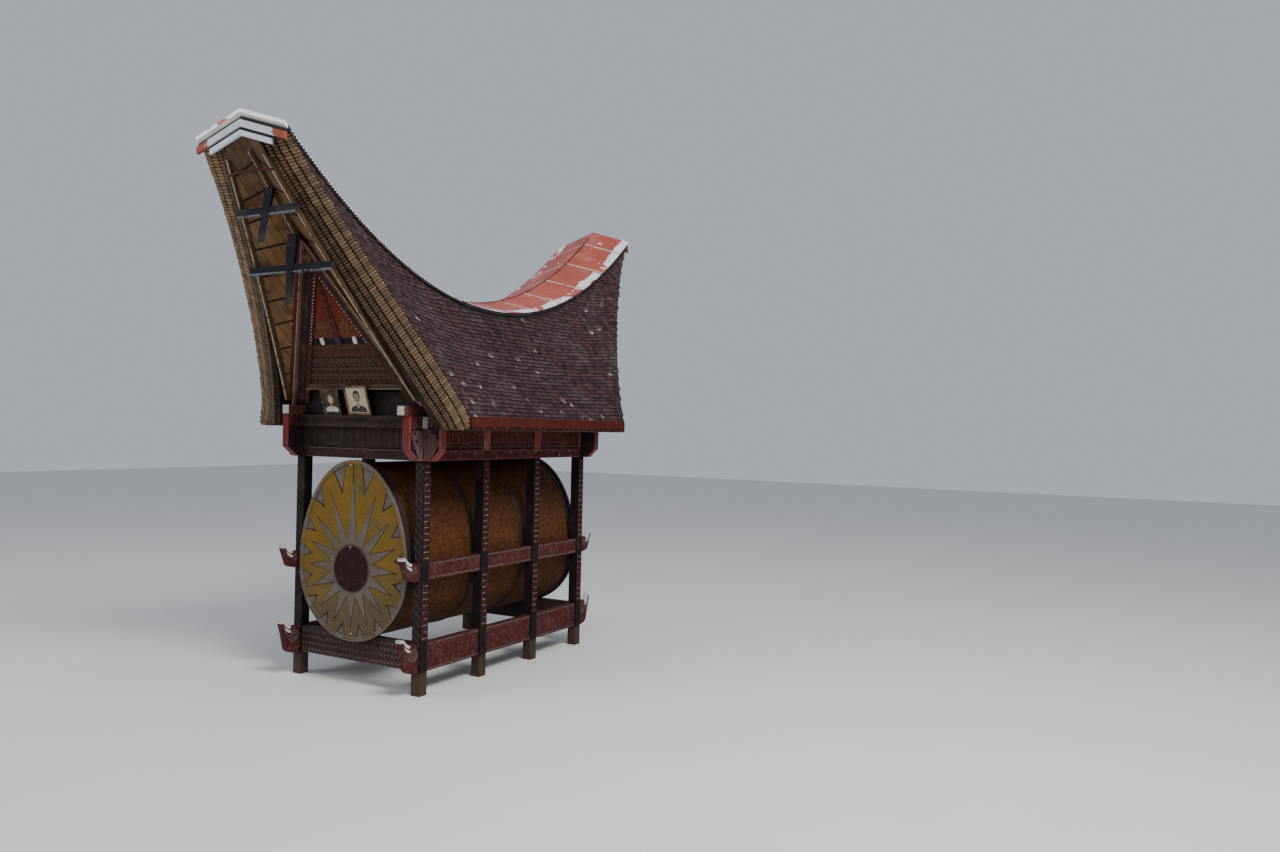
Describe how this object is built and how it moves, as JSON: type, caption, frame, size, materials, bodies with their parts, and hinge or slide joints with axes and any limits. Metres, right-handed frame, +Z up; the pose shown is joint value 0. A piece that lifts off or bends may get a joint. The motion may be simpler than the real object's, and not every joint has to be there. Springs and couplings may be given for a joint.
{
  "type": "tongkonan house",
  "caption": "Toraja saddle-roofed house on posts, with a raised carved box, leaning gables, long overhangs and a painted drum in the post cage.",
  "frame": {"origin": "on the ground, under the middle of the house", "axes": "+X to the right seen from the front, +Y from the front to the rear along the ridge, +Z up"},
  "size_m": [4.31, 8.87, 8.0754],
  "materials": {
    "dark_carved_wood": "dark carved and painted timber, worn at the feet",
    "red_carved_wood": "maroon carved and painted timber",
    "plain_wood": "plain weathered timber",
    "painted_drum": "painted timber with yellow sun rays and a pale rim",
    "picture": "framed picture",
    "shingle": "small weathered shingles, purple-brown",
    "bamboo": "layers of split bamboo, cut ends showing",
    "lining": "thin tan boards with dark joints",
    "slate_blue_paint": "slate-blue painted timber",
    "rusty_sheet": "sheet metal, rust red with peeled pale patches"
  },
  "bodies": {
    "root": {"post_front_right": "dark_carved_wood", "post_front_left": "dark_carved_wood", "post_second_right": "dark_carved_wood", "post_second_left": "dark_carved_wood", "post_third_right": "dark_carved_wood", "post_third_left": "dark_carved_wood", "post_rear_right": "dark_carved_wood", "post_rear_left": "dark_carved_wood", "low_rail_right": "red_carved_wood", "low_rail_left": "red_carved_wood", "middle_rail_right": "red_carved_wood", "middle_rail_left": "red_carved_wood", "sill_front": "dark_carved_wood", "sill_rear": "dark_carved_wood", "drum_shell": "painted_drum", "drum_end_front": "painted_drum", "drum_end_rear": "painted_drum", "end_wall_front": "dark_carved_wood", "end_wall_rear": "dark_carved_wood", "side_wall_right": "red_carved_wood", "side_wall_left": "red_carved_wood", "floor": "plain_wood", "shelf_beam_front": "plain_wood", "shelf_beam_rear": "plain_wood", "picture_frame_left": "picture", "picture_frame_right": "picture", "shingles_right": "shingle", "shingles_left": "shingle", "bamboo_bed_right": "bamboo", "bamboo_bed_left": "bamboo", "eave_board_right": "red_carved_wood", "eave_board_left": "red_carved_wood", "wall_plate_right": "red_carved_wood", "wall_plate_left": "red_carved_wood", "ridge_cap": "rusty_sheet", "tip_boards_front": "rusty_sheet", "tip_boards_rear": "rusty_sheet", "gable_frame_front": "red_carved_wood", "gable_frame_rear": "red_carved_wood", "gable_panel_front": "red_carved_wood", "gable_panel_rear": "red_carved_wood", "overhang_lining_front": "lining", "overhang_lining_rear": "lining", "lower_tie_cross_front": "slate_blue_paint", "lower_tie_cross_rear": "slate_blue_paint", "upper_tie_cross_front": "slate_blue_paint", "upper_tie_cross_rear": "slate_blue_paint"}
  },
  "joints": []
}
